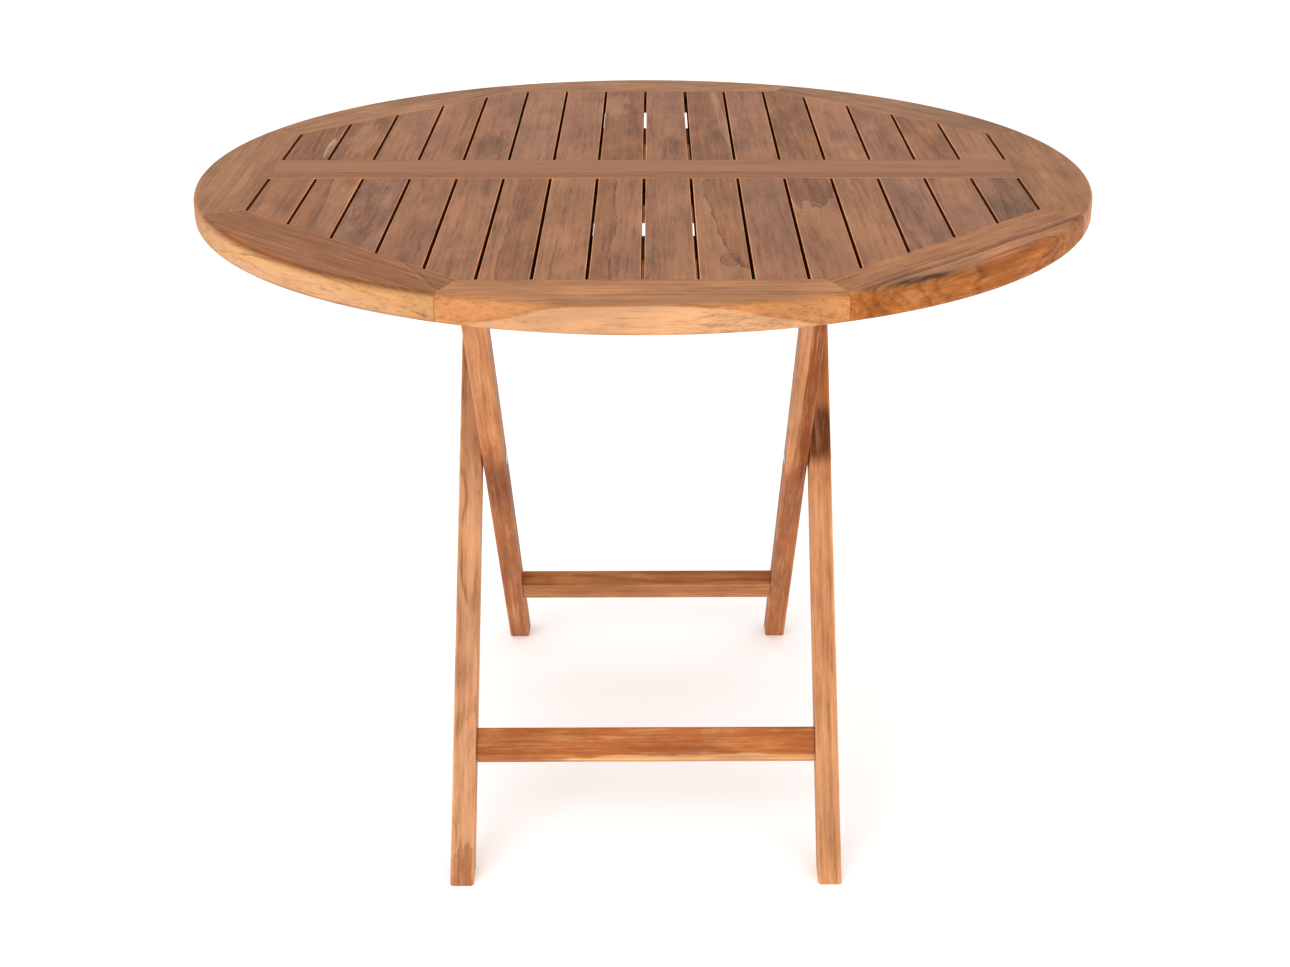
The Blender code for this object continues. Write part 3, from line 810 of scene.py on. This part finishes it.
def make_rivets_and_washers():
    brushed = steel("brushed_steel", (40.0, 2500.0, 2500.0))
    for name in ("left", "right"):
        for node, centre in ((f"hinge_rivet_{name}", HINGE), (f"pivot_rivet_{name}", CROSSING)):
            low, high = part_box(node)
            head, rise = (high.z - low.z) / 2, RIVET_HEAD_HEIGHT
            dome = [(rise * math.sin(t), head * math.cos(t)) for t in DOME_TURNS]
            far = [(high.x - rise + out, radius) for out, radius in dome]
            near = [(low.x + rise - out, radius) for out, radius in dome]
            stem = [(low.x + rise, RIVET_RADIUS), (high.x - rise, RIVET_RADIUS)]
            profile = [(low.x, 0.0), *reversed(near), *stem, *far, (high.x, 0.0)]
            place = grain_axes(centre, (1, 0, 0), (0, 0, 1))
            finish_piece(node, lathe(profile, centre), place, brushed)
        node = f"pivot_washer_{name}"
        low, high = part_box(node)
        radius = (high.z - low.z) / 2
        shape = cylinder(low.x, high.x, radius, CROSSING)
        soften(shape, CORNER_ROUND, any_edge, 2)
        bore = cylinder(low.x - radius, high.x + radius, RIVET_RADIUS + GAP, CROSSING)
        shape = combine(shape, bore, "DIFFERENCE")
        place = grain_axes(CROSSING, (1, 0, 0), (0, 0, 1))
        finish_piece(node, shape, place, brushed)


# Angles of a rivet head's section, from its rim to just short of its crown.
DOME_TURNS = [math.radians(turn) for turn in range(0, 84, 12)]


# ---------------------------------------------------------------- each board's own look

PINK = srgb(147, 97, 64)
TAN = srgb(153, 102, 66)
BROWN = srgb(134, 84, 48)
GREY = srgb(134, 90, 65)
OLIVE = srgb(126, 84, 56)
DEEP = srgb(112, 68, 38)
PALE = srgb(168, 119, 82)
CREAM = srgb(184, 147, 105)
DARK = srgb(74, 34, 15)


def oval(patch, colour, place, size, **more):
    """Inputs for one patch: place and size are (along, across), and more holds its other inputs."""
    look = {f"{patch}_colour": colour, f"{patch}_amount": 0.75}
    look.update({f"{patch}_along": place[0], f"{patch}_across": place[1]})
    look.update({f"{patch}_length": size[0], f"{patch}_width": size[1]})
    look.update({f"{patch}_{name}": value for name, value in more.items()})
    return look


def board(heartwood, *ovals, **more):
    """A board's own inputs: its heartwood, its patches and any others."""
    look = {"heartwood": heartwood, **more}
    for patch in ovals:
        look.update(patch)
    return look


# Across runs to the left on a slat. Along runs to the rail in front of it and to the rim behind it.
WAVY = {"soft": 0.05, "waves": 0.25, "line": 0.6}
FADED = {"soft": 0.9, "line": 0.0}
SLAT_LOOKS = {
    "front_01": board(
        srgb(139, 90, 57), oval("a", BROWN, (0.03, -0.014), (0.05, 0.013), amount=0.5, **FADED)
    ),
    "front_02": board(
        TAN, oval("a", BROWN, (0.0, 0.030), (0.60, 0.029), turn=0.05, soft=0.06, waves=0.1)
    ),
    "front_03": board(
        GREY, oval("a", DEEP, (0.0, 0.0), (0.09, 0.014), soft=0.7, waves=1.2, line=0.3), mottle=1.6
    ),
    "front_04": board(srgb(140, 92, 60)),
    "front_05": board(
        PINK, oval("a", BROWN, (-0.13, 0.0), (0.014, 0.009), soft=0.6, amount=0.6)
    ),
    "front_06": board(TAN, oval("a", BROWN, (0.0, -0.014), (0.60, 0.022), **WAVY)),
    "front_07": board(TAN),
    "front_08": board(PINK, oval("a", BROWN, (0.0, 0.026), (0.60, 0.022), **WAVY)),
    "front_09": board(PINK, mottle=1.2),
    "front_10": board(
        TAN,
        oval(
            "a", BROWN, (0.06, -0.020), (0.24, 0.027), turn=0.05, soft=0.06, waves=0.2, line=0.7
        ),
        oval("b", BROWN, (-0.125, -0.006), (0.020, 0.009), soft=0.5, waves=0.1, line=1.2),
    ),
    "front_11": board(PINK, oval("a", GREY, (0.09, 0.006), (0.10, 0.024), amount=0.9, **FADED)),
    "front_12": board(
        PINK,
        oval("a", DEEP, (0.15, 0.004), (0.09, 0.020), soft=0.12, amount=0.8, waves=0.6, line=0.6),
        oval("b", BROWN, (-0.02, 0.012), (0.05, 0.008), soft=0.5, line=0.3),
    ),
    "front_13": board(srgb(147, 97, 62)),
    "front_14": board(GREY, mottle=1.5),
    "front_15": board(PINK, oval("a", GREY, (-0.05, -0.008), (0.05, 0.012), **FADED)),
    "front_16": board(OLIVE, mottle=1.5, ring_strength=0.6),
    "back_01": board(BROWN, oval("a", CREAM, (-0.03, -0.019), (0.05, 0.004)), ring_strength=0.7),
    "back_02": board(
        BROWN,
        oval("a", PALE, (-0.01, 0.0), (0.07, 0.016), soft=0.2, waves=1.0, amount=0.5, line=0.5),
    ),
    "back_03": board(PINK),
    "back_04": board(PINK, oval("a", BROWN, (0.0, -0.022), (0.40, 0.012), soft=0.2)),
    "back_05": board(
        PINK,
        oval("a", DEEP, (-0.12, 0.0), (0.06, 0.018), soft=0.4, waves=1.0, amount=0.6, line=0.6),
    ),
    "back_06": board(srgb(145, 99, 68)),
    "back_07": board(PINK),
    "back_08": board(
        BROWN,
        oval("a", PALE, (0.10, 0.012), (0.10, 0.013), soft=0.3, waves=1.0, amount=0.5),
        oval("b", DEEP, (-0.04, -0.014), (0.07, 0.007), soft=0.3, waves=0.8),
    ),
    "back_09": board(
        PINK,
        oval("a", GREY, (0.11, -0.010), (0.09, 0.012), **FADED),
        oval("b", DEEP, (-0.12, -0.010), (0.035, 0.012), soft=0.4, waves=0.9, amount=0.6),
    ),
    "back_10": board(BROWN, oval("a", PALE, (0.02, -0.018), (0.20, 0.006), turn=0.04, soft=0.2)),
    "back_11": board(PINK),
    "back_12": board(BROWN, mottle=1.5, ring_strength=0.5),
    "back_13": board(
        TAN,
        oval("a", OLIVE, (-0.06, 0.0), (0.03, 0.030), soft=0.5, waves=1.2, amount=0.6, line=0.3),
    ),
    "back_14": board(PINK),
    "back_15": board(BROWN, mottle=1.4),
    "back_16": board(PINK),
}
# The open gaps beside slats and rail get painted shade inside, and their arrises a painted
# highlight with some pale raised grain.
GAP_EDGES = {"shade_left": 0.85, "shade_right": 0.85, "arris": 1.6, "rim_arris": 1.6}


def slat_look(half, number):
    """Chance picks each slat's cut from the log, and the list above gives its marked features."""
    chance = random.Random(f"{half}_{number}")
    look = {"seed": number + (40.0 if half == "back" else 0.0)}
    look["pith_across"] = chance.choice((-1, 1)) * chance.uniform(0.01, 0.09)
    look["pith_below"] = chance.uniform(0.02, 0.07)
    look["drift_across"] = chance.uniform(-0.05, 0.05)
    look["drift_below"] = chance.uniform(-0.05, 0.05)
    look["ring_width"] = chance.uniform(0.005, 0.009)
    look.update(sapwood=PALE, dark_wood=DARK, **GAP_EDGES)
    look.update(SLAT_LOOKS[f"{half}_{number:02d}"])
    return look


RAIL_LOOK = board(
    srgb(152, 100, 64),
    oval("a", BROWN, (0.0, -0.042), (2.0, 0.026), soft=0.1, waves=0.1, amount=0.7),
    **{"seed": 20.0, "sapwood": PALE, "dark_wood": DARK, "pith_across": 0.16, "pith_below": 0.03},
    **{"ring_width": 0.006, "ring_strength": 0.2, "mottle": 0.15, **GAP_EDGES},
)

# Across runs to the middle of the table on a ring segment, and along runs anticlockwise from above.
RING_LOOKS = {name: {"seed": 1.0 + i} for i, name in enumerate(RING_NAMES)}
for look in RING_LOOKS.values():
    look.update(heartwood=srgb(152, 103, 66), sapwood=srgb(201, 150, 108), dark_wood=DARK)
    # The side colour is partly painted light on each rim, and shade_left is painted shade on the
    # inner face behind the slat ends.
    look.update(side_glow=0.9, side_colour=srgb(188, 126, 78), shade_left=0.8)
    look.update(pith_across=0.10, pith_below=0.02, drift_across=0.02, ring_width=0.006)
    look.update(arris=0.9, rim_arris=0.0)
RING_LOOKS["front"].update(
    board(srgb(170, 114, 70), side_colour=srgb(190, 126, 76), ring_strength=0.3),
    **{"pith_below": -0.10, "heart_radius": 0.162, "heart_edge": 0.001, "drift_across": 0.0},
)
RING_LOOKS["front_left"].update(
    board(
        srgb(139, 84, 45),
        oval(
            "a",
            srgb(164, 88, 34),
            (-0.05, -0.030),
            (0.11, 0.005),
            turn=-0.1,
            soft=0.7,
            waves=0.8,
            line=0.0,
        ),
        oval("b", BROWN, (0.17, 0.035), (0.09, 0.020), turn=-0.25, soft=0.1, line=0.6),
        side_colour=srgb(206, 152, 98),
    ),
    **{"pith_below": -0.12, "heart_radius": 0.180, "heart_edge": 0.002},
    **{"rim_arris": -0.25, "mottle": 0.35},
)
RING_LOOKS["front_right"].update(
    board(
        srgb(157, 102, 60),
        oval(
            "a",
            srgb(158, 84, 36),
            (0.06, -0.036),
            (0.10, 0.012),
            soft=0.3,
            waves=0.15,
            line=0.5,
        ),
        oval(
            "b",
            DARK,
            (-0.107, -0.021),
            (0.032, 0.0040),
            turn=-0.22,
            soft=0.7,
            waves=0.7,
            line=0.0,
            amount=1.0,
        ),
        side_colour=srgb(160, 90, 32),
    ),
    **{"band_radius": 0.112, "band_width": 0.003, "band_strength": 0.6},
    **{"ring_strength": 0.6, "wander": 0.018},
)
RING_LOOKS["left"].update(
    oval("a", BROWN, (0.0, 0.042), (0.30, 0.022), soft=0.4, amount=0.5, line=0.0),
    **{"mottle": 0.6, "streaks": 0.7},
)
RING_LOOKS["right"].update(board(srgb(144, 95, 57), mottle=0.8, streaks=0.8))
RING_LOOKS["back_right"].update(board(srgb(144, 99, 64)))


def under_look(node):
    """A batten's or bearer's own cut from the log."""
    chance = random.Random(node)
    look = {"seed": chance.uniform(60, 80), "heartwood": srgb(150, 104, 74)}
    look.update(pith_across=chance.uniform(0.03, 0.08), ring_width=0.006)
    look.update(sapwood=srgb(186, 140, 104), dark_wood=DARK)
    return look


# Along runs up a leg from the crossing. Across runs left on an outer leg and right on an inner leg.
LEG_NAMES = ["outer_leg_left", "outer_leg_right", "inner_leg_left", "inner_leg_right"]
LEG_NAMES += ["outer_stretcher", "inner_stretcher", "lock_bar"]
LEG_LOOKS = {name: {"seed": 90.0 + i} for i, name in enumerate(LEG_NAMES)}
for look in LEG_LOOKS.values():
    look.update(board(srgb(198, 140, 94), sapwood=srgb(222, 172, 124)))
    look.update(dark_wood=srgb(120, 68, 38), ring_width=0.006, arris=0.2, rim_arris=0.2)
    look.update(pith_across=0.05, pith_below=0.03, drift_across=0.02)
# The inner legs' heartwood is darker partly as painted shade, for legs that stand behind the outer
# legs in their shadow.
INNER_LEG_WOOD_AND_SHADE = srgb(162, 98, 56)
STRIPE = {"soft": 0.12, "waves": 0.1, "line": 0.0}
LEG_LOOKS["outer_leg_left"].update(
    board(
        srgb(196, 141, 100),
        oval("a", srgb(150, 88, 50), (-0.54, 0.006), (0.08, 0.020), soft=0.3, waves=0.6),
        **{"pith_across": 0.004, "pith_below": 0.05, "drift_below": 0.03, "wander": 0.02},
        **{"ring_strength": 0.8, "ring_width": 0.0035},
    )
)
LEG_LOOKS["outer_leg_right"].update(
    board(
        srgb(192, 134, 90),
        oval("a", srgb(190, 116, 62), (0.20, 0.0), (0.20, 0.060), soft=0.2, line=0.0, amount=0.9),
        # Patch b is a painted shadow cast by the inner leg, just above the crossing.
        oval(
            "b",
            srgb(82, 28, 5),
            (0.026, -0.001),
            (0.038, 0.026),
            soft=0.35,
            waves=0.2,
            line=0.0,
            amount=0.85,
        ),
    )
)
LEG_LOOKS["inner_leg_left"].update(
    board(
        INNER_LEG_WOOD_AND_SHADE,
        # Patch a is a painted shadow just below the crossing.
        oval("a", srgb(122, 66, 34), (-0.055, 0.0), (0.05, 0.022), **FADED),
        oval("b", srgb(194, 132, 86), (0.22, 0.0), (0.20, 0.020), soft=0.4, line=0.0),
    )
)
LEG_LOOKS["inner_leg_right"].update(
    board(
        INNER_LEG_WOOD_AND_SHADE,
        oval("a", srgb(205, 145, 98), (0.22, -0.010), (0.24, 0.009), **STRIPE),
        oval("b", srgb(132, 66, 24), (0.20, 0.009), (0.24, 0.0095), amount=0.9, **STRIPE),
    )
)
# The outer stretcher's heartwood is darker than the legs' partly as painted shade on its front
# face, which the light reaches less.
LEG_LOOKS["outer_stretcher"].update(
    board(
        srgb(166, 94, 45),
        oval("a", srgb(222, 166, 112), (0.12, -0.022), (0.24, 0.010), soft=0.1),
    )
)
LEG_LOOKS["inner_stretcher"].update(board(srgb(172, 112, 66), ring_strength=0.8))


# ---------------------------------------------------------------- stage, light and camera

WHITE = (1.0, 1.0, 1.0, 1.0)
FLOOR_COLOUR = (0.93, 0.93, 0.93, 1.0)
FLOOR_RADIUS = 30.0
LIGHT_AIM = Vector((0.0, 0.0, 0.55))
CAMERA_PLACE = (0.0105, -2.1399, 1.2865)
CAMERA_HEADING = math.radians(-0.553)
CAMERA_TILT = math.radians(90.0 - 23.884)
CAMERA_ROLL = math.radians(0.078)
CAMERA_LENS = 53.41
CAMERA_SENSOR = 36.0
CAMERA_SHIFT = (-0.0203, 0.0125)


def add_to_scene(name, data):
    made = bpy.data.objects.new(name, data)
    bpy.context.scene.collection.objects.link(made)
    return made


def make_floor():
    shape = bmesh.new()
    bmesh.ops.create_circle(shape, cap_ends=True, segments=96, radius=FLOOR_RADIUS)
    mesh = bpy.data.meshes.new("floor")
    shape.to_mesh(mesh)
    shape.free()
    material = bpy.data.materials.new("floor")
    material.use_nodes = True
    shader = material.node_tree.nodes["Principled BSDF"]
    shader.inputs["Base Color"].default_value = FLOOR_COLOUR
    shader.inputs["Emission Color"].default_value = WHITE
    shader.inputs["Emission Strength"].default_value = 0.20
    shader.inputs["Roughness"].default_value = 0.9
    shader.inputs["Specular IOR Level"].default_value = 0.1
    mesh.materials.append(material)
    add_to_scene("floor", mesh)


def make_area_light(name, size, power, location):
    light = bpy.data.lights.new(name, "AREA")
    light.shape = "SQUARE"
    light.size = size
    light.energy = power
    lamp = add_to_scene(name, light)
    lamp.location = location
    aim = LIGHT_AIM - Vector(location)
    lamp.rotation_euler = aim.to_track_quat("-Z", "Y").to_euler()


def make_lights():
    world = bpy.data.worlds.new("studio")
    bpy.context.scene.world = world
    world.use_nodes = True
    background = world.node_tree.nodes["Background"]
    background.inputs["Color"].default_value = WHITE
    background.inputs["Strength"].default_value = 1.0
    make_area_light("key", 2.6, 60.0, (-1.9, -3.0, 2.4))
    make_area_light("fill", 3.0, 30.0, (2.2, -3.2, 1.3))
    bpy.context.scene.view_settings.view_transform = "Standard"


def make_camera():
    camera = bpy.data.cameras.new("camera")
    camera.sensor_width = CAMERA_SENSOR
    camera.lens = CAMERA_LENS
    camera.shift_x, camera.shift_y = CAMERA_SHIFT
    holder = add_to_scene("camera", camera)
    heading = Matrix.Rotation(CAMERA_HEADING, 4, "Z")
    tilt = Matrix.Rotation(CAMERA_TILT, 4, "X")
    roll = Matrix.Rotation(CAMERA_ROLL, 4, "Z")
    holder.matrix_world = Matrix.Translation(CAMERA_PLACE) @ heading @ tilt @ roll
    bpy.context.scene.camera = holder


TEAK = build_teak_group()
make_ring()
make_rail()
make_slats()
make_battens()
make_bearers()
make_leg_frame("outer", 1, RIVET_RADIUS)
make_leg_frame("inner", -1, LOCK_BAR_END_RADIUS)
make_lock_bar()
make_rivets_and_washers()
make_floor()
make_lights()
make_camera()
